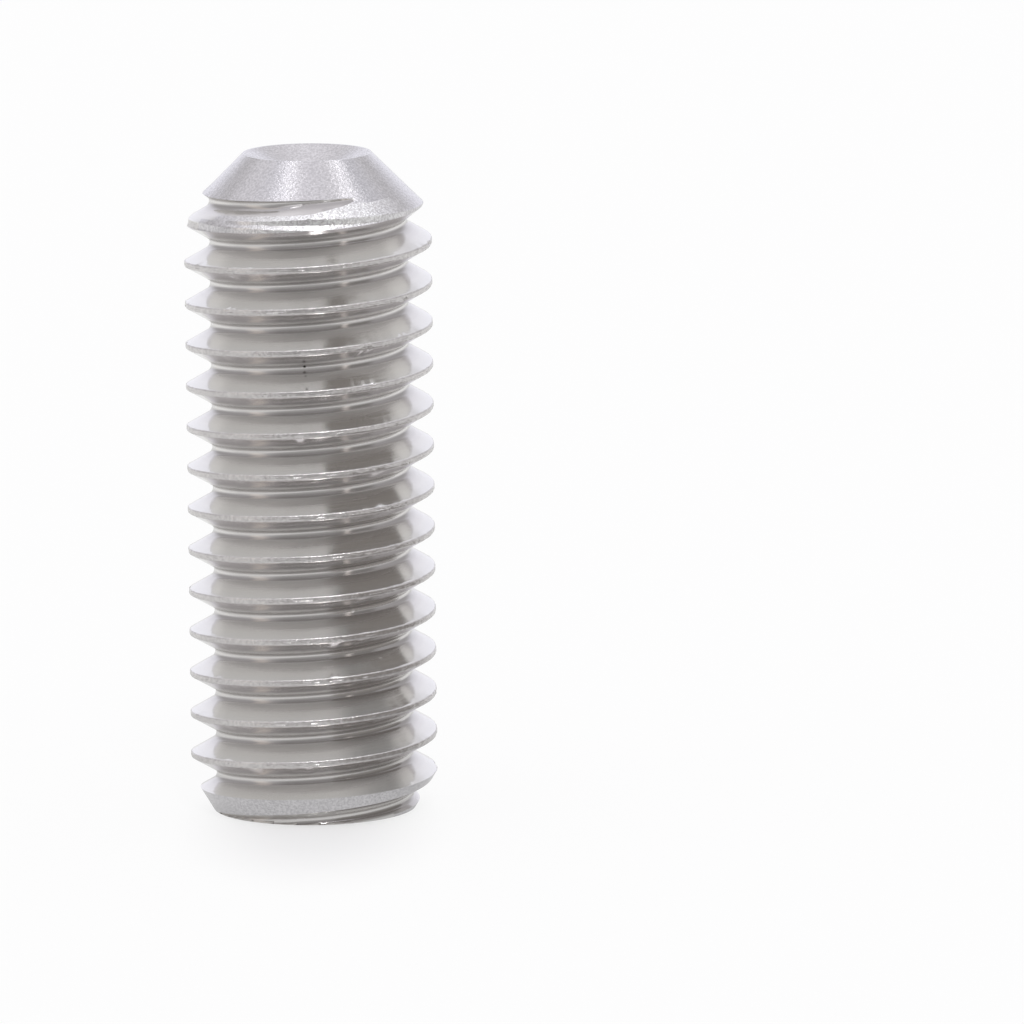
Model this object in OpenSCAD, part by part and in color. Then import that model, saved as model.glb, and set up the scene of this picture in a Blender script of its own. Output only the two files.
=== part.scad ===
// Grub screw: a headless set screw with a hexagon socket in one end and a cup point on the other.
// It stands on its socket end, with the cup point up. Sizes are in millimetres.

/* [Thread] */
// Outer diameter over the crests
thread_d = 5.97; // [5:0.01:8]
// Distance from one turn to the next
pitch = 1; // [0.8:0.05:1.25]
// Width of the flat on top of each crest
crest_flat = 0.12; // [0.05:0.01:0.2]
// Angle between the two flanks of a turn
flank_angle = 60; // [50:1:70]
// Radius of the rounded root between two turns
root_radius = 0.144; // [0.08:0.004:0.18]
// Direction in which the crest crosses the socket end, from +X
start_angle = 57; // [0:1:359]
// Distance from the cup's rim to where the last turn starts to run out, half formed
runout_length = 1.46; // [1:0.02:2]
// How much the half-formed flank stays above its full depth
runout_lift = 0.1; // [0:0.01:0.15]

/* [Body] */
// Length from the socket end to the rim of the cup
screw_length = 16; // [8:0.5:20]
// Diameter of the flat end round the socket
socket_end_d = 4.9; // [4:0.05:5.6]
// Length of the bevel from the socket end to the crests
bevel_length = 0.9; // [0.4:0.05:1.5]
// Angle of the point's cone, from the axis of the screw
point_angle = 45; // [35:1:55]

/* [Hexagon socket] */
// Width across the flats of the socket
hexagon_flats = 3; // [2:0.1:3.6]
// Depth of the socket's walls, down the middle of each flat
socket_depth = 3.5; // [2:0.1:5]
// Angle across the cone that closes the socket
socket_cone_angle = 90; // [80:1:140]
// Width of the flat ring that the screw stands on
land_width = 0.1; // [0.05:0.01:0.2]
// Slope of the hollowed end face, from the flat ring down to the socket
dish_slope = 13; // [5:1:20]

/* [Cup point] */
// Diameter over the rim of the cup
cup_d = 3.1; // [2.4:0.05:3.8]
// Width of the cup's rim
rim_width = 0.04; // [0.02:0.01:0.1]
// Depth of the cup below its rim
cup_depth = 0.8; // [0.4:0.05:1.2]

/* [Smoothness] */
// Facets in one turn of the thread
turn_facets = 36; // [24:6:42]
// Facets in the rounded root, from flank to flank
root_facets = 4; // [2:2:4]

/* [Hidden] */

crest_r = thread_d / 2;
// The flanks meet at this depth, and the root's arc bottoms out above it
flank_tan = tan(flank_angle / 2);
sharp_depth = (pitch - crest_flat) / 2 / flank_tan;
thread_depth = sharp_depth - root_radius * (1 / sin(flank_angle / 2) - 1);
root_r = crest_r - thread_depth;
// Half of the angle that the root's arc spans
root_turn = 90 - flank_angle / 2;

// How far the cutting shapes reach past the metal that they cut
overrun = 0.3;
// The threaded bar starts a turn and a little below the socket end and ends a little above the point
bar_overrun = 0.1;
bar_start = -pitch - bar_overrun;
first_angle = start_angle + 360 * bar_start / pitch;
bar_rows = ceil((screw_length + pitch / 2 + bar_overrun - bar_start) / pitch * turn_facets);
bar_end = bar_start + pitch * bar_rows / turn_facets;
runout_start = screw_length - runout_length;
runout_ramp = 0.05;

socket_end_r = socket_end_d / 2;
bevel_slope = (crest_r - socket_end_r) / bevel_length;
cup_r = cup_d / 2;
envelope_r = crest_r + overrun;
dish_r = socket_end_r - land_width;
hexagon_corner_r = hexagon_flats / 2 / cos(30);
round_fn = 96;

// One turn's profile as [height, radius], from the lower edge of a crest to just below the next crest
turn_profile = concat(
    [[-crest_flat / 2, crest_r], [crest_flat / 2, crest_r]],
    [for (step = [0 : root_facets])
        let (turn = root_turn * (2 * step / root_facets - 1))
        [pitch / 2 + root_radius * sin(turn), root_r + root_radius * (1 - cos(turn))]]
);
profile_points = len(turn_profile);
last_lifted = 1 + root_facets / 2;

// Number of a point in the threaded bar: the row along the helix, then the place in the profile.
// The point after the profile's last is the first point of the next turn.
function bar_point(row, place) =
    place == profile_points
        ? (row + turn_facets) * profile_points
        : row * profile_points + place;

// How far a point of the profile is lifted in the run-out: the upper flank's foot, up to the root's middle
function lift(rise, place) =
    place > 1 && place <= last_lifted
        ? runout_lift * min(1, max(0, (rise - runout_start) / runout_ramp))
        : 0;

// A point of the threaded bar, from its angle round the axis and its rise along the helix
function helix_point(row, place) =
    let (
        angle = first_angle + 360 * row / turn_facets,
        rise = bar_start + pitch * row / turn_facets,
        radius = turn_profile[place][1] + lift(rise, place)
    )
    [radius * cos(angle), radius * sin(angle), rise + turn_profile[place][0]];

// A bar with the thread on it, longer than the screw at both ends
module threaded_bar() {
    last_place = profile_points - 1;
    points = concat(
        [for (row = [0 : bar_rows], place = [0 : last_place]) helix_point(row, place)],
        [[0, 0, bar_start + pitch / 2], [0, 0, bar_end]]
    );
    bottom_centre = len(points) - 2;
    top_centre = len(points) - 1;
    // The quads along the helix, each as two triangles
    walls = [
        for (row = [0 : bar_rows - 1], place = [0 : last_place])
            if (place < last_place || row < bar_rows - turn_facets)
                let (
                    a = bar_point(row, place),
                    b = bar_point(row, place + 1),
                    c = bar_point(row + 1, place + 1),
                    d = bar_point(row + 1, place)
                )
                each [[a, b, c], [a, c, d]]
    ];
    // The ends: once round the edge of the last turn and back along the profile
    bottom_edge = concat(
        [for (row = [0 : turn_facets]) bar_point(row, 0)],
        [for (place = [last_place : -1 : 1]) bar_point(0, place)]
    );
    top_edge = concat(
        [for (row = [bar_rows - turn_facets : bar_rows]) bar_point(row, last_place)],
        [for (place = [last_place - 1 : -1 : 0]) bar_point(bar_rows, place)]
    );
    bottom_count = len(bottom_edge);
    top_count = len(top_edge);
    bottom_cap = [
        for (i = [0 : bottom_count - 1])
            [bottom_centre, bottom_edge[i], bottom_edge[(i + 1) % bottom_count]]
    ];
    top_cap = [
        for (i = [0 : top_count - 1])
            [top_centre, top_edge[(i + 1) % top_count], top_edge[i]]
    ];
    polyhedron(points = points, faces = concat(walls, bottom_cap, top_cap), convexity = 10);
}

// The turned outline that trims the bar: bevel, clear middle and cone of the point
module turned_outline() {
    bevel_rise = (envelope_r - socket_end_r) / bevel_slope;
    cone_drop = (envelope_r - cup_r) / tan(point_angle);
    rotate_extrude($fn = round_fn)
        polygon([
            [0, 0],
            [socket_end_r, 0],
            [envelope_r, bevel_rise],
            [envelope_r, screw_length - cone_drop],
            [cup_r, screw_length],
            [0, screw_length]
        ]);
}

// The socket: a hexagon whose flats end in arcs where the cone at the bottom meets them
module hexagon_socket() {
    cone_tan = tan(socket_cone_angle / 2);
    cone_tip = socket_depth + hexagon_flats / 2 / cone_tan;
    cone_r = hexagon_corner_r + overrun;
    intersection() {
        translate([0, 0, -overrun])
            cylinder(h = cone_tip + 2 * overrun, r = hexagon_corner_r, $fn = 6);
        rotate_extrude($fn = round_fn)
            polygon([
                [0, -2 * overrun],
                [cone_r, -2 * overrun],
                [cone_r, cone_tip - cone_r / cone_tan],
                [0, cone_tip]
            ]);
    }
}

// The hollowed end face, from inside the flat ring down to the socket
module dish() {
    translate([0, 0, -overrun])
        cylinder(
            h = overrun + dish_r * tan(dish_slope),
            r1 = dish_r + overrun / tan(dish_slope),
            r2 = 0,
            $fn = round_fn
        );
}

// The hollow in the point, which leaves a thin rim that bites into a shaft
module cup() {
    hollow_r = cup_r - rim_width;
    slope = hollow_r / cup_depth;
    translate([0, 0, screw_length - cup_depth])
        cylinder(h = cup_depth + overrun, r1 = 0, r2 = hollow_r + overrun * slope, $fn = round_fn);
}

module grub_screw() {
    color([0.71, 0.69, 0.68])
        difference() {
            intersection() {
                threaded_bar();
                turned_outline();
            }
            hexagon_socket();
            dish();
            cup();
        }
}

grub_screw();
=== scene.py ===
import math

import bpy
import numpy as np
from mathutils import Matrix, Vector


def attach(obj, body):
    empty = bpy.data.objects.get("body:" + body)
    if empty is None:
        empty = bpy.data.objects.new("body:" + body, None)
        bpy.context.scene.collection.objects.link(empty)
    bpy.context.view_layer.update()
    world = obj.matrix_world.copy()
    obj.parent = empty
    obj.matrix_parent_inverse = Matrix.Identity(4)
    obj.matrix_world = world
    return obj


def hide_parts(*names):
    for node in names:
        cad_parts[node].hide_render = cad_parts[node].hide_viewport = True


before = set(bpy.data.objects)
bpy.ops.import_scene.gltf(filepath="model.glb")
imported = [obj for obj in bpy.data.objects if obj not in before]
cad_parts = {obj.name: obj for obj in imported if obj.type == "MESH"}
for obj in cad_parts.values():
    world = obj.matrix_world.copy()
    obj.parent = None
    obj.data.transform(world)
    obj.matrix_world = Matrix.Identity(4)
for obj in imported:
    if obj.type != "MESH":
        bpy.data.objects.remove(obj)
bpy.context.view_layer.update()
mm = 0.001  # every size below is in millimetres, and Blender works in metres
micron = 1e-6
white = (1.0, 1.0, 1.0, 1.0)
mixShare, mixFirst, mixSecond = 0, 6, 7  # the inputs of a Mix node that mixes colours

# The camera of the photo: a long lens, a little above the screw
photoView = {
    "place": (4.848, -285.7165, 56.3126),  # from the centre of the socket end
    "pitch": 0.1703,  # radians below the horizon
    "roll": -0.0096,
    "focalPixels": 12000.0,
    "imagePixels": 1024,
    "sensorWidth": 36.0,
    "clipRange": (0.001, 10.0),  # metres
}

screw = {
    # The screw's own sizes, as in the part's source
    "length": 16.0,
    "crestRadius": 2.985,
    "pitch": 1.0,
    "crestFlat": 0.12,
    "flankAngle": 60.0,
    "rootRadius": 0.144,
    "startAngle": 57.0,
    "runoutStart": 14.54,
    "runoutRamp": 0.05,
    "runoutLift": 0.09,
    "liftShares": (0.0, 1.0, 0.7, 0.0),  # at the flank's top and foot, halfway on, and at the root's middle
    "endRadius": 2.45,
    "bevelLength": 0.9,
    "pointAngle": 45.0,
    "cupRadius": 1.55,
    "rimWidth": 0.04,
    "cupDepth": 0.8,
    "hexagonFlats": 3.0,
    "socketDepth": 3.5,
    "socketConeAngle": 90.0,
    "landWidth": 0.1,
    "dishSlope": 13.0,
    # The dies round the edges of the crest and the two sides of the root, each by a radius of its own
    "upperEdge": 0.05,
    "lowerEdge": 0.075,
    "rootBelowCrest": 0.095,
    "rootAboveCrest": 0.19,
    # The metal from both flanks meets in a seam along the crest, with a burr and small nicks
    "seamDepth": 0.006,
    "burrHeight": 0.007,
    "burrsPerMm": 14,
    "nickCount": 150,
    "nickDepth": 0.03,
    "nickReach": (0.06, 0.22),
    "shallowestNick": 0.2,
    # The tool of the point leaves a torn lip where it cuts the thread
    "lipHeight": 0.016,
    "lipDip": 0.3,
    # The last turn is half formed: torn between these heights and angles, with a blunt crest
    "bandHeights": (14.3, 15.06),
    "tornAngles": (205, 359),
    "bluntHeights": (14.0, 14.1, 14.35, 14.52, 14.62),
    "bluntDepths": (0.0, 0.03, 0.11, 0.12, 0.205),
    # Small edges and extra rows of points in the socket and the cup
    "edgeWidth": 0.02,
    "wallRow": 1.7,
    "wallFoot": (0.03, 0.015),
    "coneRows": (0.9, 0.3),
    "cupRows": (0.6, 0.2),
    # Fineness of the mesh
    "columns": 228,
    "edgePoints": 4,
    "rootPoints": 6,
    "upperRows": (0.06, 0.35, 0.7),
    "lowerRows": (0.06, 0.94),
    "endMargin": 0.012,
    "sharpAngle": 28,
    "wearTable": 4096,
    "seed": 11,
}


def linearColour(code, alpha=1.0):
    # sRGB hex to linear
    values = [int(code[i:i + 2], 16) / 255 for i in (1, 3, 5)]
    return tuple(v / 12.92 if v <= 0.04045 else ((v + 0.055) / 1.055) ** 2.4 for v in values) + (alpha,)


def addNode(tree, kind, settings=None, links=None):
    # settings are the node's properties; links are values, output sockets, or nodes for their first output
    node = tree.nodes.new(kind)
    for name, value in (settings or {}).items():
        setattr(node, name, value)
    for name, value in (links or {}).items():
        if isinstance(value, bpy.types.Node):
            value = next(socket for socket in value.outputs if socket.enabled)
        if isinstance(value, bpy.types.NodeSocket):
            tree.links.new(value, node.inputs[name])
        else:
            node.inputs[name].default_value = value
    return node


def newTree(owner):
    owner.use_nodes = True
    owner.node_tree.nodes.clear()
    return owner.node_tree


def newMaterial(name):
    material = bpy.data.materials.new(name)
    return material, newTree(material)


def finishSteel(tree, colour, roughness, bump):
    # Bare metal in all its finishes: the colour, the roughness and the bump make the difference
    steel = addNode(tree, "ShaderNodeBsdfPrincipled", None, {
        "Base Color": colour, "Metallic": 1.0, "Roughness": roughness, "Normal": bump})
    addNode(tree, "ShaderNodeOutputMaterial", None, {"Surface": steel})


def addObject(name, points, faces, materials):
    mesh = bpy.data.meshes.new(name + "Mesh")
    mesh.from_pydata([tuple(v * mm for v in point) for point in points], [], faces)
    for material in materials:
        mesh.materials.append(material)
    added = bpy.data.objects.new(name, mesh)
    bpy.context.scene.collection.objects.link(added)
    return added


def turnProfile():
    # One turn of the thread, as places along the axis and radii, with the crest's middle at zero
    slope = math.radians(screw["flankAngle"] / 2)
    span = math.pi / 2 - slope
    crestRadius, pitch = screw["crestRadius"], screw["pitch"]
    corner = screw["crestFlat"] / 2
    depth = (pitch / 2 - corner) / math.tan(slope) - screw["rootRadius"] * (1 / math.sin(slope) - 1)

    def sideOfRidge(edge, rounding, rows):
        # From the crest's flat round its edge, down a flank and round to the root's bottom
        flat = corner - edge * math.tan(span / 2)
        side = [(flat + edge * math.sin(a), crestRadius - edge * (1 - math.cos(a)))
                for a in np.linspace(0, span, screw["edgePoints"])]
        centre = corner + depth * math.tan(slope) + rounding * (1 / math.cos(slope) - math.tan(slope))
        arc = [(centre - rounding * math.sin(a), crestRadius - depth + rounding * (1 - math.cos(a)))
               for a in np.linspace(span, 0, screw["rootPoints"])]
        top, foot = np.array(side[-1]), np.array(arc[0])
        return side + [tuple(top + (foot - top) * row) for row in rows] + arc, arc[0][0]

    above, foot = sideOfRidge(screw["upperEdge"], screw["rootAboveCrest"], screw["upperRows"])
    below = sideOfRidge(screw["lowerEdge"], screw["rootBelowCrest"], screw["lowerRows"])[0]
    points = [(0.0, crestRadius - screw["seamDepth"])] + above
    points += [(pitch - z, r) for z, r in reversed(below[:-1])]
    places = np.array([p[0] for p in points])
    radii = np.array([p[1] for p in points])
    onCrest = np.zeros(len(points), bool)
    onCrest[:1 + screw["edgePoints"]] = True
    onCrest[-screw["edgePoints"]:] = True
    # How much of the run-out's lift each point takes
    middle = pitch / 2
    lifted = np.interp(places, [corner, foot, (foot + middle) / 2, middle], screw["liftShares"])
    return places, radii, onCrest, lifted


def envelope(z):
    # Radius left by the bevel and by the cone of the point
    bevel = screw["endRadius"] + (screw["crestRadius"] - screw["endRadius"]) / screw["bevelLength"] * z
    cone = screw["cupRadius"] + (screw["length"] - z) * math.tan(math.radians(screw["pointAngle"]))
    return np.minimum(bevel, cone)


def cutByEnvelope(z, over, limit):
    # Moves the point nearest to each place where thread and envelope cross onto that place
    cut = np.zeros(len(z), bool)
    for low in np.nonzero(over[:-1] * over[1:] < 0)[0]:
        share = over[low] / (over[low] - over[low + 1])
        nearest = low if share < 0.5 else low + 1
        crossing = z[low] + (z[low + 1] - z[low]) * share
        z[nearest] = crossing
        cut[nearest] = True
        limit[nearest] = envelope(z[nearest])
    return cut


class ThreadMesh:
    # Upright columns of points on the thread, stitched side by side, and rings that close the two ends
    firstId, lastId = -10 ** 6, 10 ** 6  # the ids of a column's end points, below and above all others

    def __init__(self):
        self.rng = np.random.default_rng(screw["seed"])
        self.places, self.radii, self.onCrest, self.lifted = turnProfile()
        self.count = len(self.places)
        # Spare turns at both ends, so that the thread fills the whole length
        self.turns = np.arange(-2, int(screw["length"] / screw["pitch"]) + 3)
        self.circumference = 2 * math.pi * screw["crestRadius"]
        self.across = np.concatenate([[0], np.cumsum(np.hypot(np.diff(self.places), np.diff(self.radii)))])
        lastStep = np.hypot(screw["pitch"] - self.places[-1], self.radii[0] - self.radii[-1])
        self.across = np.append(self.across, self.across[-1] + lastStep)
        self.drawWear()
        self.points, self.faces, self.kinds, self.runs = [], [], [], []
        self.columns = [self.addColumn(column) for column in range(screw["columns"])]
        for column in range(screw["columns"]):
            self.stitch(column)

    def drawWear(self):
        # The burr's heights and the nicks' places, widths and depths
        count = screw["nickCount"]
        nickAt = self.rng.uniform(0, len(self.turns) * self.circumference, count)
        nickWide = self.rng.uniform(*screw["nickReach"], count)
        nickDeep = self.rng.uniform(screw["shallowestNick"], 1.0, count) ** 2 * screw["nickDepth"]
        self.nicks = list(zip(nickAt, nickWide, nickDeep))
        self.burrLow = self.rng.uniform(-1, 1, screw["wearTable"])
        self.burrHigh = self.rng.uniform(-1, 1, screw["wearTable"])

    def crestWear(self, run, isLow):
        # Burr and nicks along the crest, by the distance run along the helix
        place = (run * screw["burrsPerMm"]).astype(int) % screw["wearTable"]
        wear = np.where(isLow, self.burrLow[place], self.burrHigh[place]) * screw["burrHeight"]
        for at, wide, deep in self.nicks:
            away = np.abs(run - at) / wide
            wear = wear - np.where(away < 1, deep * (1 - away ** 2), 0)
        return wear

    def threadLine(self, angle):
        # Heights, radii and ids of an upright line of points, with the run-out but before wear and cutting
        pitch, margin = screw["pitch"], screw["endMargin"]
        rise = pitch * (angle - math.radians(screw["startAngle"])) / (2 * math.pi)
        z = (rise + pitch * self.turns[:, None] + self.places[None, :]).ravel()
        turnRise = (rise + pitch * self.turns)[:, None]
        ramp = np.clip((turnRise - screw["runoutStart"]) / screw["runoutRamp"], 0, 1)
        r = (self.radii[None, :] + screw["runoutLift"] * ramp * self.lifted[None, :]).ravel()
        crest = np.tile(self.onCrest, len(self.turns))
        ids = (self.turns[:, None] * self.count + np.arange(self.count)[None, :]).ravel()
        inside = (z > margin) & (z < screw["length"] - margin)
        return z[inside], r[inside], crest[inside], ids[inside]

    def addColumn(self, column):
        # One upright line of points, worn and cut, with what each of them lies on
        angle = 2 * math.pi * column / screw["columns"]
        z, r, crest, ids = self.threadLine(angle)
        turn = np.floor_divide(ids, self.count) - self.turns[0]
        run = (turn + column / screw["columns"]) * self.circumference
        r = r + np.where(crest, self.crestWear(run, ids % self.count < self.count / 2), 0)
        highest = screw["crestRadius"] - np.interp(z, screw["bluntHeights"], screw["bluntDepths"])
        blunt = (r >= highest) & (z > screw["bluntHeights"][1])
        r = np.minimum(r, highest)
        limit = envelope(z)
        over = r - limit
        cut = cutByEnvelope(z, over, limit)
        turned = (over > 0) | cut
        r = np.where(turned, limit, r)
        lip = cut & (z > screw["length"] / 2)
        r[lip] += self.rng.uniform(-screw["lipDip"], 1, lip.sum()) * screw["lipHeight"]
        start = len(self.points)
        ends = [(screw["endRadius"], 0.0), (screw["cupRadius"], screw["length"])]
        for radius, height in [ends[0], *zip(r, z), ends[1]]:
            self.points.append((radius * math.cos(angle), radius * math.sin(angle), height))
        return {
            "start": start,
            "ids": np.concatenate([[self.firstId], ids, [self.lastId]]),
            "turned": np.concatenate([[True], turned, [True]]),
            "cut": np.concatenate([[False], cut, [False]]),
            "blunt": np.concatenate([[False], blunt, [False]]),
        }

    def runOf(self, column, pointId, isUpper):
        # Distance along the helix and across the profile; a face's upper edge stays in the face's own turn
        if abs(pointId) == self.lastId:
            return column / screw["columns"] * self.circumference, 0.0
        turn, place = divmod(pointId, self.count)
        if isUpper and place == 0:
            turn, place = turn - 1, self.count
        return (turn + column / screw["columns"]) * self.circumference, self.across[place]

    def stitch(self, column):
        # Faces between a column and the next: a quad where both have the next point, or else a triangle
        after = (column + 1) % screw["columns"]
        near, far = self.columns[column], self.columns[after]
        a, b = near["ids"], far["ids"].copy()
        b[1:-1] -= self.count if after == 0 else 0
        p = q = 0
        while p < len(a) - 1 or q < len(b) - 1:
            nextA = a[p + 1] if p < len(a) - 1 else 2 * self.lastId
            nextB = b[q + 1] if q < len(b) - 1 else 2 * self.lastId
            low = max(a[p], b[q])
            onBlunt = near["blunt"][p] and far["blunt"][q]
            corners = [(near, p, column, a[p], False), (far, q, column + 1, b[q], False)]
            crossing = along = False
            if nextA == nextB:
                crossing = near["cut"][p + 1] and far["cut"][q]
                along = near["cut"][p] and far["cut"][q + 1]
            if nextB <= nextA:
                q += 1
                corners.append((far, q, column + 1, nextB, True))
            if nextA <= nextB:
                p += 1
                corners.append((near, p, column, nextA, True))
            # A quad is split where a cut runs from corner to corner
            parts = [range(len(corners))]
            if crossing:
                parts = [(0, 1, 3), (1, 2, 3)]
            elif along:
                parts = [(0, 1, 2), (0, 2, 3)]
            for part in parts:
                self.addThreadFace([corners[i] for i in part], column, low, onBlunt)

    def addThreadFace(self, corners, column, low, onBlunt):
        # What a face lies on decides its finish
        numbers = [side["start"] + at for side, at, *helix in corners]
        isTorn = screw["tornAngles"][0] < column / screw["columns"] * 360 < screw["tornAngles"][1]
        place = low % self.count if abs(low) != self.lastId else -1
        if all(side["turned"][at] for side, at, *helix in corners):
            height = sum(self.points[number][2] for number in numbers) / len(numbers)
            inBand = screw["bandHeights"][0] < height < screw["bandHeights"][1]
            kind = "halfFormed" if inBand and isTorn else "turned"
        elif onBlunt and isTorn:
            kind = "halfFormed"
        elif place >= 0 and self.onCrest[place] and self.onCrest[(place + 1) % self.count]:
            kind = "crest"
        else:
            kind = "rolled"
        self.addFace(numbers, kind, [self.runOf(*helix) for side, at, *helix in corners])

    def addFace(self, numbers, kind, runs=None):
        self.faces.append(numbers)
        self.kinds.append(kind)
        self.runs.append(runs or [(0.0, 0.0)] * len(numbers))

    def addRing(self, shape):
        # shape gives the radius and the height at an angle
        start = len(self.points)
        for column in range(screw["columns"]):
            angle = 2 * math.pi * column / screw["columns"]
            radius, height = shape(angle)
            self.points.append((radius * math.cos(angle), radius * math.sin(angle), height))
        return range(start, len(self.points))

    def joinRings(self, inner, outer, kind):
        for column in range(screw["columns"]):
            after = (column + 1) % screw["columns"]
            self.addFace([inner[column], inner[after], outer[after], outer[column]], kind)

    def closeRing(self, ring, height, kind, upward):
        tip = len(self.points)
        self.points.append((0.0, 0.0, height))
        for column in range(screw["columns"]):
            after = (column + 1) % screw["columns"]
            corners = [ring[column], ring[after], tip] if upward else [tip, ring[after], ring[column]]
            self.addFace(corners, kind)


def addSocket(form):
    # The flat ring, the hollowed face, the hexagon's walls and the cone at the bottom
    coneTan = math.tan(math.radians(screw["socketConeAngle"] / 2))
    coneTip = screw["socketDepth"] + screw["hexagonFlats"] / 2 / coneTan
    dishTan = math.tan(math.radians(screw["dishSlope"]))
    dishRadius = screw["endRadius"] - screw["landWidth"]
    edge = screw["edgeWidth"]
    inward, upward = screw["wallFoot"]

    def hexagon(angle, wider=0.0):
        turn = angle % (math.pi / 3) - math.pi / 6
        return (screw["hexagonFlats"] + wider) / 2 / math.cos(turn)

    def onDish(radius, higher=0.0):
        return radius, (dishRadius - radius) * dishTan + higher

    def onCone(radius, narrower=0.0, higher=0.0):
        return radius - narrower, coneTip - radius / coneTan + higher

    shapes = [
        (lambda a: onDish(dishRadius), "turned"),
        (lambda a: onDish(dishRadius - edge), "turned"),
        (lambda a: onDish((dishRadius + hexagon(a)) / 2), "turned"),
        (lambda a: onDish(hexagon(a, 2 * edge)), "turned"),
        (lambda a: onDish(hexagon(a), edge), "broached"),
        (lambda a: (hexagon(a), screw["wallRow"]), "broached"),
        (lambda a: onCone(hexagon(a), 0.0, -inward), "broached"),
        (lambda a: onCone(hexagon(a), inward, upward), "turned"),
    ]
    shapes += [(lambda a, r=radius: onCone(r), "turned") for radius in screw["coneRows"]]
    outer = [column["start"] for column in form.columns]
    for ring, kind in [(form.addRing(shape), kind) for shape, kind in shapes]:
        form.joinRings(ring, outer, kind)
        outer = ring
    form.closeRing(outer, coneTip, "turned", upward=False)


def addCup(form):
    # The thin rim and the hollow inside it
    hollow = screw["cupRadius"] - screw["rimWidth"]
    cupTan = screw["cupDepth"] / hollow
    radii = [hollow, hollow - screw["edgeWidth"]] + [hollow * row for row in screw["cupRows"]]
    shapes = [lambda a, r=radius: (r, screw["length"] - (hollow - r) * cupTan) for radius in radii]
    rings = [form.addRing(shape) for shape in shapes]
    inner = [column["start"] + len(column["ids"]) - 1 for column in form.columns]
    for ring in rings:
        form.joinRings(inner, ring, "turned")
        inner = ring
    form.closeRing(inner, screw["length"] - screw["cupDepth"], "turned", upward=True)


def makeScrew(materials):
    form = ThreadMesh()
    addSocket(form)
    addCup(form)
    piece = addObject("grubScrew", form.points, form.faces, materials.values())
    mesh, names = piece.data, list(materials)
    mesh.polygons.foreach_set("material_index", [names.index(kind) for kind in form.kinds])
    layer = mesh.uv_layers.new(name="threadRun")
    layer.uv.foreach_set("vector", np.array([xy for face in form.runs for xy in face], np.float32).ravel())
    mesh.shade_smooth()
    mesh.set_sharp_from_angle(angle=math.radians(screw["sharpAngle"]))
    mesh.update()
    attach(piece, "root")
    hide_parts("grub_screw")
    triangles = sum(len(face) - 2 for face in form.faces)
    print("screw mesh:", len(form.points), "points,", triangles, "triangles")


# Rolled stainless steel: the dies leave the flanks nearly polished, so the eye gets clear reflections, drawn
# out by lines along the thread, and a softer line in the root. The lines are coarser than the real ones, so
# that they show
# Its colours also hold a painted shade at the foot of the upper flank and three painted glints
rolledFinishPaintedShadeAndGlints = {
    "roughness": (0.09, 0.19),
    "streaksPerMm": (0.5, 16),  # along the thread and across it
    "streakNoise": {"Detail": 3.0, "Roughness": 0.6},
    "streakRange": (0.3, 0.7),
    "bumpMicrons": 2.4,
    "bumpStrength": 0.7,
    # The root is rougher than the flanks: where across the profile, how far from there, and how much
    "rootMiddle": 0.96,
    "rootReach": 0.19,
    "rootRougher": 0.24,
    # Colours by the distance across the profile: bright near the crests, with a painted shade that darkens
    # the upper flank towards its foot at the root
    "profileLength": 1.7,
    "colours": [
        (0.10, "#e5e4e3"), (0.35, "#e1dfdd"), (0.55, "#d5d2d1"), (0.68, "#c2bfbe"), (0.79, "#b4b1b0"),
        (0.86, "#e9e7e5"), (1.02, "#e9e7e5"), (1.20, "#e9e7e5"), (1.60, "#ebe9e8"),
    ],
    # Three dark pits in a row, and three white painted glints: place, radius and colour
    "pitsAndPaintedGlints": [
        ((-0.084, -2.67, 11.345), 0.03, "#6b6663"),
        ((-0.079, -2.381, 11.166), 0.035, "#4d4845"),
        ((-0.081, -2.389, 11.022), 0.03, "#6b6663"),
        # The three white spots are painted glints
        ((1.653, -1.991, 3.991), 0.045, "#ffffff"),
        ((1.008, -2.143, 5.173), 0.04, "#ffffff"),
        ((-1.789, -2.147, 13.311), 0.05, "#ffffff"),
    ],
    "markEdge": (0.6, 1.4),  # a mark fades out between these shares of its radius
}


def coloursWithPaintedShadeAcross(tree, across):
    # The colours by the distance across the profile, with the painted shade at the foot of the upper flank
    length = rolledFinishPaintedShadeAndGlints["profileLength"]
    share = addNode(tree, "ShaderNodeMath", {"operation": "DIVIDE"}, {0: across, 1: length})
    colour = addNode(tree, "ShaderNodeValToRGB", None, {"Fac": share})
    stops = colour.color_ramp.elements
    for number, (place, code) in enumerate(rolledFinishPaintedShadeAndGlints["colours"]):
        stop = stops[number] if number < 2 else stops.new(1.0)
        stop.position, stop.color = place / length, linearColour(code)
    return colour


def addPitsAndPaintedGlints(tree, colour):
    # The pits and the painted glints, over the steel's own colour
    spot = addNode(tree, "ShaderNodeTexCoord").outputs["Object"]
    inner, outer = rolledFinishPaintedShadeAndGlints["markEdge"]
    for place, radius, code in rolledFinishPaintedShadeAndGlints["pitsAndPaintedGlints"]:
        distance = addNode(tree, "ShaderNodeVectorMath", {"operation": "DISTANCE"}, {
            0: spot, 1: [v * mm for v in place]})
        share = addNode(tree, "ShaderNodeMapRange", {"interpolation_type": "SMOOTHSTEP"}, {
            "Value": distance, "From Min": inner * radius * mm, "From Max": outer * radius * mm,
            "To Min": 1.0, "To Max": 0.0})
        colour = addNode(tree, "ShaderNodeMix", {"data_type": "RGBA"}, {
            mixShare: share, mixFirst: colour, mixSecond: linearColour(code)})
    return colour


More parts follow.
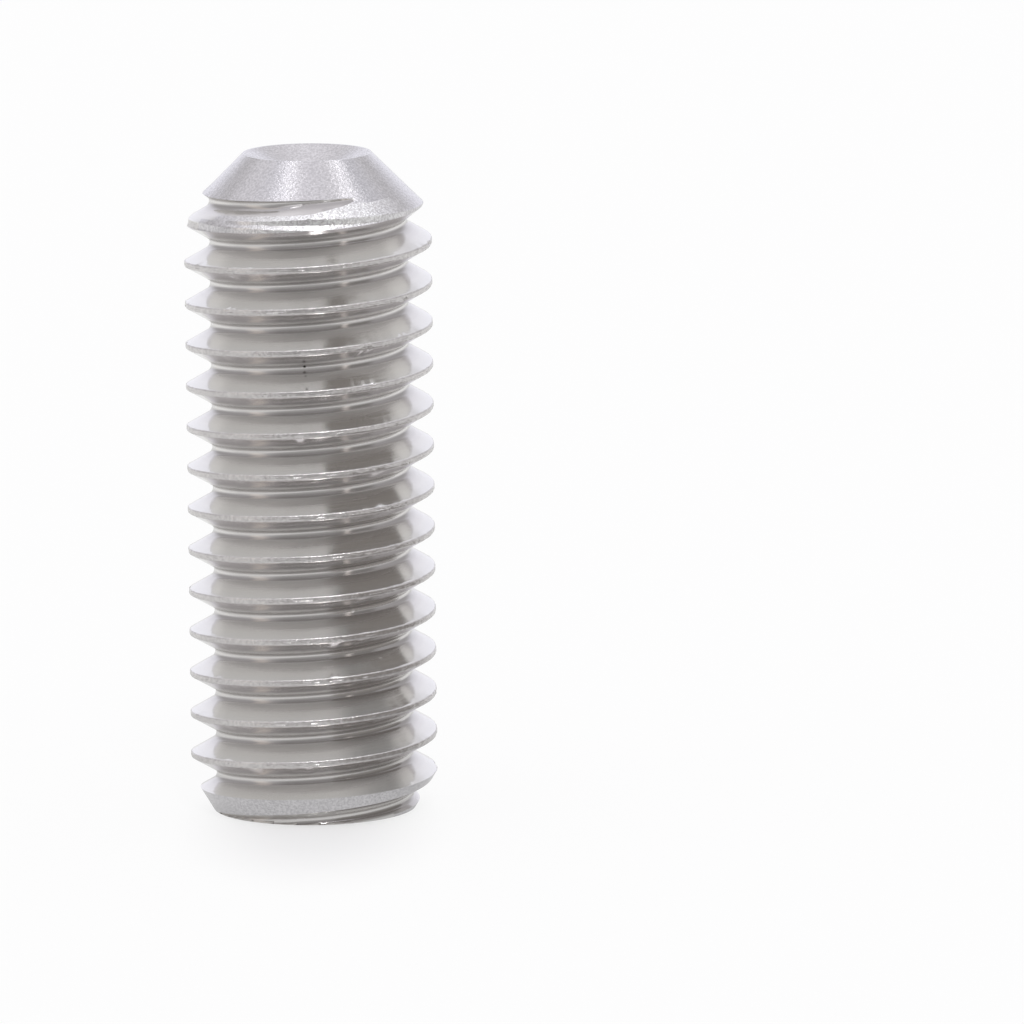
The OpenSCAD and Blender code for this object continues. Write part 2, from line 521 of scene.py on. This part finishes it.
def rolledStainless():
    material, tree = newMaterial("rolledStainlessSteelPaintedShadeAndGlints")
    run = addNode(tree, "ShaderNodeUVMap", {"uv_map": "threadRun"})
    stretch = addNode(tree, "ShaderNodeMapping", None, {
        "Vector": run, "Scale": (*rolledFinishPaintedShadeAndGlints["streaksPerMm"], 1)})
    streaks = addNode(tree, "ShaderNodeTexNoise", None, {
        "Vector": stretch, "Scale": 1.0, **rolledFinishPaintedShadeAndGlints["streakNoise"]})
    (low, high), (smoothest, roughest) = rolledFinishPaintedShadeAndGlints["streakRange"], rolledFinishPaintedShadeAndGlints["roughness"]
    flank = addNode(tree, "ShaderNodeMapRange", None, {
        "Value": streaks, "From Min": low, "From Max": high, "To Min": smoothest, "To Max": roughest})
    across = addNode(tree, "ShaderNodeSeparateXYZ", None, {"Vector": run}).outputs["Y"]
    fromRoot = addNode(tree, "ShaderNodeMath", {"operation": "SUBTRACT"}, {
        0: across, 1: rolledFinishPaintedShadeAndGlints["rootMiddle"]})
    away = addNode(tree, "ShaderNodeMath", {"operation": "ABSOLUTE"}, {0: fromRoot})
    root = addNode(tree, "ShaderNodeMapRange", {"interpolation_type": "SMOOTHSTEP"}, {
        "Value": away, "From Min": 0.0, "From Max": rolledFinishPaintedShadeAndGlints["rootReach"],
        "To Min": rolledFinishPaintedShadeAndGlints["rootRougher"], "To Max": 0.0})
    roughness = addNode(tree, "ShaderNodeMath", {"operation": "ADD"}, {0: flank, 1: root})
    bump = addNode(tree, "ShaderNodeBump", None, {
        "Height": streaks, "Strength": rolledFinishPaintedShadeAndGlints["bumpStrength"],
        "Distance": rolledFinishPaintedShadeAndGlints["bumpMicrons"] * micron})
    finishSteel(tree, addPitsAndPaintedGlints(tree, coloursWithPaintedShadeAcross(tree, across)), roughness, bump)
    return material


grainRange = (0.4, 0.6)


def grainColour(tree, grit, codes):
    # The two colours of a grain, mixed by the grit
    low, high = grainRange
    share = addNode(tree, "ShaderNodeMapRange", None, {"Value": grit, "From Min": low, "From Max": high})
    first, second = [linearColour(code) for code in codes]
    return addNode(tree, "ShaderNodeMix", {"data_type": "RGBA"}, {
        mixShare: share, mixFirst: first, mixSecond: second})


# Stainless steel squeezed up between the dies: the crests stay rough and catch the light in points. The grit
# is coarser than the real one, so that it shows
crestFinish = {
    "colours": ("#d3d0cf", "#e1dedd"),
    "roughness": 0.15,
    "gritPerMm": 12,
    "bumpMicrons": 20,
}

# Torn stainless steel: the half-formed last turn is ragged, with bright points all over from a grit that is
# coarser than the real one, so that it shows. Its pale colour, up to white, is a painted highlight in front
tornFinishAndPaintedHighlight = {
    "colours": ("#dedcdd", "#ffffff"),
    "roughness": 0.2,
    "gritPerMm": 17,
    "bumpMicrons": 17,
    # The painted highlight and the grit fade into the clean turned metal with the distance along X from the
    # middle of the torn part
    "fadeMiddle": 0.3,
    "fade": (1.1, 2.3),
    "fadeColours": ("#c8c6c8", "#dfdddf"),
}
gritNoise = {"Detail": 3.0, "Roughness": 0.65}


def grittyStainless(name, finish):
    material, tree = newMaterial(name)
    place = addNode(tree, "ShaderNodeTexCoord").outputs["Object"]
    grit = addNode(tree, "ShaderNodeTexNoise", None, {
        "Vector": place, "Scale": finish["gritPerMm"] / mm, **gritNoise})
    colour, strength = grainColour(tree, grit, finish["colours"]), 1.0
    # The painted highlight: the pale colours hold in the middle and give way to the side colours along X
    if "fade" in finish:
        across = addNode(tree, "ShaderNodeSeparateXYZ", None, {"Vector": place}).outputs["X"]
        aside = addNode(tree, "ShaderNodeMath", {"operation": "SUBTRACT"}, {
            0: across, 1: finish["fadeMiddle"] * mm})
        away = addNode(tree, "ShaderNodeMath", {"operation": "ABSOLUTE"}, {0: aside})
        start, end = finish["fade"]
        share = addNode(tree, "ShaderNodeMapRange", {"interpolation_type": "SMOOTHSTEP"}, {
            "Value": away, "From Min": start * mm, "From Max": end * mm})
        colour = addNode(tree, "ShaderNodeMix", {"data_type": "RGBA"}, {
            mixShare: share, mixFirst: colour, mixSecond: grainColour(tree, grit, finish["fadeColours"])})
        strength = addNode(tree, "ShaderNodeMath", {"operation": "SUBTRACT"}, {0: 1.0, 1: share})
    bump = addNode(tree, "ShaderNodeBump", None, {
        "Height": grit, "Strength": strength, "Distance": finish["bumpMicrons"] * micron})
    finishSteel(tree, colour, finish["roughness"], bump)
    return material


# Turned stainless steel: the cone, the bevel and the end face have the tool's rings under a grit that breaks
# the lamps' reflections up into grains. Both are coarser than the real ones, so that they show
turnedFinish = {
    "colours": ("#c8c6c8", "#dfdddf"),
    "roughness": 0.1,
    "ringsPerMm": 10,
    "ringNoise": {"Detail": 2.0},
    "ringMicrons": 2,
    "gritPerMm": 18,
    "gritNoise": {"Detail": 3.0, "Roughness": 0.7},
    "gritMicrons": 6.5,
}


def turnedStainless():
    material, tree = newMaterial("turnedStainlessSteel")
    place = addNode(tree, "ShaderNodeTexCoord").outputs["Object"]
    split = addNode(tree, "ShaderNodeSeparateXYZ", None, {"Vector": place}).outputs
    flat = addNode(tree, "ShaderNodeCombineXYZ", None, {"X": split["X"], "Y": split["Y"]})
    radius = addNode(tree, "ShaderNodeVectorMath", {"operation": "LENGTH"}, {0: flat})
    along = addNode(tree, "ShaderNodeMath", {"operation": "SUBTRACT"}, {0: radius, 1: split["Z"]})
    ringPlace = addNode(tree, "ShaderNodeCombineXYZ", None, {"X": along})
    rings = addNode(tree, "ShaderNodeTexNoise", None, {
        "Vector": ringPlace, "Scale": turnedFinish["ringsPerMm"] / mm, **turnedFinish["ringNoise"]})
    grit = addNode(tree, "ShaderNodeTexNoise", None, {
        "Vector": place, "Scale": turnedFinish["gritPerMm"] / mm, **turnedFinish["gritNoise"]})
    ringBump = addNode(tree, "ShaderNodeBump", None, {
        "Height": rings, "Strength": 1.0, "Distance": turnedFinish["ringMicrons"] * micron})
    bump = addNode(tree, "ShaderNodeBump", None, {
        "Height": grit, "Strength": 1.0, "Distance": turnedFinish["gritMicrons"] * micron,
        "Normal": ringBump})
    finishSteel(tree, grainColour(tree, grit, turnedFinish["colours"]), turnedFinish["roughness"], bump)
    return material


# Broached stainless steel: the socket's walls keep the broach's lines, which run down its depth and dull it
broachedFinish = {
    "colour": "#b5aca3",
    "roughness": 0.28,
    "linesPerMm": 14,
    "lineStretch": 0.04,
    "lineNoise": {"Detail": 3.0},
    "bumpMicrons": 12,
}


def broachedStainless():
    material, tree = newMaterial("broachedStainlessSteel")
    place = addNode(tree, "ShaderNodeTexCoord").outputs["Object"]
    stretch = addNode(tree, "ShaderNodeMapping", None, {
        "Vector": place, "Scale": (1, 1, broachedFinish["lineStretch"])})
    lines = addNode(tree, "ShaderNodeTexNoise", None, {
        "Vector": stretch, "Scale": broachedFinish["linesPerMm"] / mm, **broachedFinish["lineNoise"]})
    bump = addNode(tree, "ShaderNodeBump", None, {
        "Height": lines, "Strength": 1.0, "Distance": broachedFinish["bumpMicrons"] * micron})
    finishSteel(tree, linearColour(broachedFinish["colour"]), broachedFinish["roughness"], bump)
    return material


# The table is white for the camera, but for a soft shadow in front of the screw. In the reflections on the
# screw it is brightest behind, darker far in front, where a camera keeps the light away, and in three shades
table = {
    "size": 600.0,
    "paper": 0.92,
    "cameraShare": 0.90,
    "mirrorNear": 0.72,
    "mirrorBehind": 0.88,
    "behindReach": (2.0, 22.0),
    "frontReach": (-36.0, -14.0),
    "frontAside": 0.8,
    "frontShade": 0.6,
    # Middle, stretch along Y, reach from darkest to clear, and the share of the light left in the middle
    "shadow": ((0.0, -3.5), 0.45, (0.4, 3.6), 0.5),
    "mirrorShades": [
        ((7.0, -4.0), 0.77, (2.0, 6.0), 0.5),  # beside the grey roll
        ((0.0, 0.0), 1.0, (2.4, 2.9), 0.84),  # under the bevel
        ((0.0, -9.0), 0.5, (2.0, 7.0), 0.94),  # in front
    ],
}


def roundShade(tree, place, middle, stretch, reach, darkest):
    # The share of the light left round a spot on the table
    moved = addNode(tree, "ShaderNodeMapping", {"vector_type": "TEXTURE"}, {
        "Vector": place, "Location": (middle[0] * mm, middle[1] * mm, 0), "Scale": (1, 1 / stretch, 1)})
    distance = addNode(tree, "ShaderNodeVectorMath", {"operation": "LENGTH"}, {0: moved})
    return addNode(tree, "ShaderNodeMapRange", {"interpolation_type": "SMOOTHSTEP"}, {
        "Value": distance, "From Min": reach[0] * mm, "From Max": reach[1] * mm, "To Min": darkest})


def mirroredTable(tree, place):
    # How bright the screw's reflections see the table
    split = addNode(tree, "ShaderNodeSeparateXYZ", None, {"Vector": place}).outputs
    fromSide = addNode(tree, "ShaderNodeMath", {"operation": "ABSOLUTE"}, {0: split["X"]})
    aside = addNode(tree, "ShaderNodeMath", {"operation": "MULTIPLY"}, {0: fromSide, 1: table["frontAside"]})
    inFront = addNode(tree, "ShaderNodeMath", {"operation": "ADD"}, {0: split["Y"], 1: aside})
    slopes = [
        (inFront, table["frontReach"], table["frontShade"]),
        (split["Y"], table["behindReach"], table["mirrorNear"] / table["mirrorBehind"]),
    ]
    bright = table["mirrorBehind"]
    for value, (start, end), darkest in slopes:
        shade = addNode(tree, "ShaderNodeMapRange", {"interpolation_type": "SMOOTHSTEP"}, {
            "Value": value, "From Min": start * mm, "From Max": end * mm, "To Min": darkest})
        bright = addNode(tree, "ShaderNodeMath", {"operation": "MULTIPLY"}, {0: bright, 1: shade})
    for shape in table["mirrorShades"]:
        bright = addNode(tree, "ShaderNodeMath", {"operation": "MULTIPLY"}, {
            0: bright, 1: roundShade(tree, place, *shape)})
    return bright


def whiteTable():
    material, tree = newMaterial("whiteTable")
    path = addNode(tree, "ShaderNodeLightPath").outputs
    place = addNode(tree, "ShaderNodeTexCoord").outputs["Object"]
    shadow = roundShade(tree, place, *table["shadow"])
    seen = addNode(tree, "ShaderNodeMath", {"operation": "MULTIPLY"}, {0: path["Is Camera Ray"], 1: shadow})
    cameraShare = addNode(tree, "ShaderNodeMath", {"operation": "MULTIPLY"}, {
        0: seen, 1: table["cameraShare"]})
    inMirror = addNode(tree, "ShaderNodeMath", {"operation": "MAXIMUM"}, {
        0: path["Is Glossy Ray"], 1: path["Is Transmission Ray"]})
    glowShare = addNode(tree, "ShaderNodeMath", {"operation": "MAXIMUM"}, {0: inMirror, 1: cameraShare})
    strength = addNode(tree, "ShaderNodeMath", {"operation": "MAXIMUM"}, {
        0: mirroredTable(tree, place), 1: path["Is Camera Ray"]})
    paper = addNode(tree, "ShaderNodeBsdfDiffuse", None, {"Color": (*[table["paper"]] * 3, 1)})
    glow = addNode(tree, "ShaderNodeEmission", None, {"Color": white, "Strength": strength})
    top = addNode(tree, "ShaderNodeMixShader", None, {0: glowShare, 1: paper, 2: glow})
    # From below it is clear, so that the socket can be looked at
    isBelow = addNode(tree, "ShaderNodeNewGeometry").outputs["Backfacing"]
    clear = addNode(tree, "ShaderNodeBsdfTransparent")
    bothSides = addNode(tree, "ShaderNodeMixShader", None, {0: isBelow, 1: top, 2: clear})
    addNode(tree, "ShaderNodeOutputMaterial", None, {"Surface": bothSides})
    return material


def makeFloor():
    size = table["size"]
    corners = [(-size, -size, 0), (size, -size, 0), (size, size, 0), (-size, size, 0)]
    addObject("floor", corners, [(0, 1, 2, 3)], [whiteTable()])


# A grey roll beside the screw, seen only in its reflections: it darkens the flanks on that side
greyRoll = {
    "start": (5.0, -9.6),
    "end": (13.9, 3.3),
    "radius": 2.9,
    "sides": 24,
    "brightness": (0.29, 0.275, 0.265),
}


def greyCard():
    material, tree = newMaterial("greyCard")
    grey = addNode(tree, "ShaderNodeEmission", None, {
        "Color": (*greyRoll["brightness"], 1), "Strength": 1.0})
    addNode(tree, "ShaderNodeOutputMaterial", None, {"Surface": grey})
    return material


def makeGreyRoll():
    radius, sides, up = greyRoll["radius"], greyRoll["sides"], Vector((0, 0, 1))
    start, end = Vector((*greyRoll["start"], radius)), Vector((*greyRoll["end"], radius))
    across = (end - start).normalized().cross(up)
    points = []
    for centre in (start, end):
        for step in range(sides):
            turn = 2 * math.pi * step / sides
            points.append(centre + radius * (math.cos(turn) * across + math.sin(turn) * up))
    faces = [(step, (step + 1) % sides, sides + (step + 1) % sides, sides + step) for step in range(sides)]
    faces += [tuple(range(sides)), tuple(range(2 * sides - 1, sides - 1, -1))]
    roll = addObject("greyRoll", points, faces, [greyCard()])
    roll.visible_camera = roll.visible_diffuse = roll.visible_shadow = roll.visible_transmission = False


# The light tent round the screw, as patches by compass direction (0 behind, 90 to the right) and by height
tent = {
    "base": (0.61, 0.60, 0.61),
    "patches": [
        # name, direction, half width, lowest and highest, soft edges at the sides, below and above, colour
        ("ceiling", 0, 181, 38, 91, 4, 6, 4, (0.86, 0.85, 0.88)),
        ("backLow", 0, 32, -5, 35, 14, 3, 8, (1.00, 1.00, 1.07)),
        ("backTop", 0, 50, 60, 91, 10, 5, 4, (1.04, 1.03, 1.07)),
        ("frontTop", 180, 52, 45, 91, 10, 5, 4, (1.05, 1.04, 1.08)),
        ("zenith", 0, 181, 76, 91, 4, 3, 4, (0.90, 0.89, 0.93)),
        ("frontLow", 180, 46, -4, 38, 14, 6, 8, (0.42, 0.41, 0.41)),
        ("leftStrip", -113, 9, -12, 55, 6, 5, 5, (0.93, 0.88, 0.84)),
        ("leftHigh", -105, 30, 60, 74, 8, 4, 4, (0.88, 0.88, 0.94)),
        ("rightLow", 125, 25, 10, 38, 8, 5, 5, (0.36, 0.35, 0.34)),
        ("darkPanel", 62, 22, 45, 69, 4, 4, 4, (0.72, 0.72, 0.76)),
        ("rightStrip", 137, 3, -12, 40, 2, 2, 2, (1.1, 1.04, 1.0)),
        ("lampLeft", -109, 8, 71, 78, 2, 2, 2, (4.2, 4.2, 4.3)),
        ("lampRight", 78, 6, 60, 67, 2, 2, 2, (4.0, 4.0, 4.1)),
        ("lampFront", 170, 7, 47, 60, 2, 2, 4, (14.0, 14.0, 14.0)),
    ],
}


def addPatch(tree, colour, bearing, height, patch):
    # Lays one patch over the colours before it
    name, direction, half, lowest, highest, softSide, softLow, softHigh, shade = patch
    away = addNode(tree, "ShaderNodeMath", {"operation": "SUBTRACT", "label": name}, {
        0: bearing, 1: float(direction)})
    wrapped = addNode(tree, "ShaderNodeMath", {"operation": "WRAP"}, {0: away, 1: 180.0, 2: -180.0})
    aside = addNode(tree, "ShaderNodeMath", {"operation": "ABSOLUTE"}, {0: wrapped})
    edges = [(aside, half, softSide, 1.0), (height, lowest, softLow, 0.0), (height, highest, softHigh, 1.0)]
    share = None
    for value, edge, soft, before in edges:
        window = addNode(tree, "ShaderNodeMapRange", {"interpolation_type": "SMOOTHSTEP"}, {
            "Value": value, "From Min": edge - soft, "From Max": edge + soft,
            "To Min": before, "To Max": 1.0 - before})
        share = window if share is None else addNode(tree, "ShaderNodeMath", {"operation": "MULTIPLY"}, {
            0: share, 1: window})
    return addNode(tree, "ShaderNodeMix", {"data_type": "RGBA"}, {
        mixShare: share, mixFirst: colour, mixSecond: (*shade, 1)})


def makeTent():
    world = bpy.data.worlds.new("lightTent")
    bpy.context.scene.world = world
    tree = newTree(world)
    place = addNode(tree, "ShaderNodeTexCoord").outputs["Generated"]
    split = addNode(tree, "ShaderNodeSeparateXYZ", None, {"Vector": place}).outputs
    rise = addNode(tree, "ShaderNodeMath", {"operation": "ARCSINE"}, {0: split["Z"]})
    height = addNode(tree, "ShaderNodeMath", {"operation": "DEGREES"}, {0: rise})
    compass = addNode(tree, "ShaderNodeMath", {"operation": "ARCTAN2"}, {0: split["X"], 1: split["Y"]})
    bearing = addNode(tree, "ShaderNodeMath", {"operation": "DEGREES"}, {0: compass})
    colour = (*tent["base"], 1)
    for patch in tent["patches"]:
        colour = addPatch(tree, colour, bearing, height, patch)
    around = addNode(tree, "ShaderNodeBackground", None, {"Color": colour, "Strength": 1.0})
    plain = addNode(tree, "ShaderNodeBackground", None, {"Color": white, "Strength": 1.0})
    isSeen = addNode(tree, "ShaderNodeLightPath").outputs["Is Camera Ray"]
    light = addNode(tree, "ShaderNodeMixShader", None, {0: isSeen, 1: around, 2: plain})
    addNode(tree, "ShaderNodeOutputWorld", None, {"Surface": light})


def makeCamera():
    pitch, roll = photoView["pitch"], photoView["roll"]
    forward = Vector((0, math.cos(pitch), -math.sin(pitch)))
    level = Vector((1, 0, 0))
    upright = level.cross(forward)
    right = math.cos(roll) * level + math.sin(roll) * upright
    up = -math.sin(roll) * level + math.cos(roll) * upright
    data = bpy.data.cameras.new("photoCamera")
    data.sensor_width = photoView["sensorWidth"]
    data.lens = photoView["focalPixels"] / photoView["imagePixels"] * photoView["sensorWidth"]
    data.clip_start, data.clip_end = photoView["clipRange"]
    camera = bpy.data.objects.new("photoCamera", data)
    turn = Matrix((right, up, -forward)).transposed().to_4x4()
    camera.matrix_world = Matrix.Translation(Vector(photoView["place"]) * mm) @ turn
    bpy.context.scene.collection.objects.link(camera)
    bpy.context.scene.camera = camera


makeCamera()
print("camera placed")
makeScrew({
    "rolled": rolledStainless(),
    "crest": grittyStainless("burredStainlessSteel", crestFinish),
    "halfFormed": grittyStainless("tornStainlessSteelAndPaintedHighlight", tornFinishAndPaintedHighlight),
    "turned": turnedStainless(),
    "broached": broachedStainless(),
})
makeFloor()
makeGreyRoll()
makeTent()
print("floor and light tent made")
bpy.context.scene.view_settings.view_transform = "Standard"
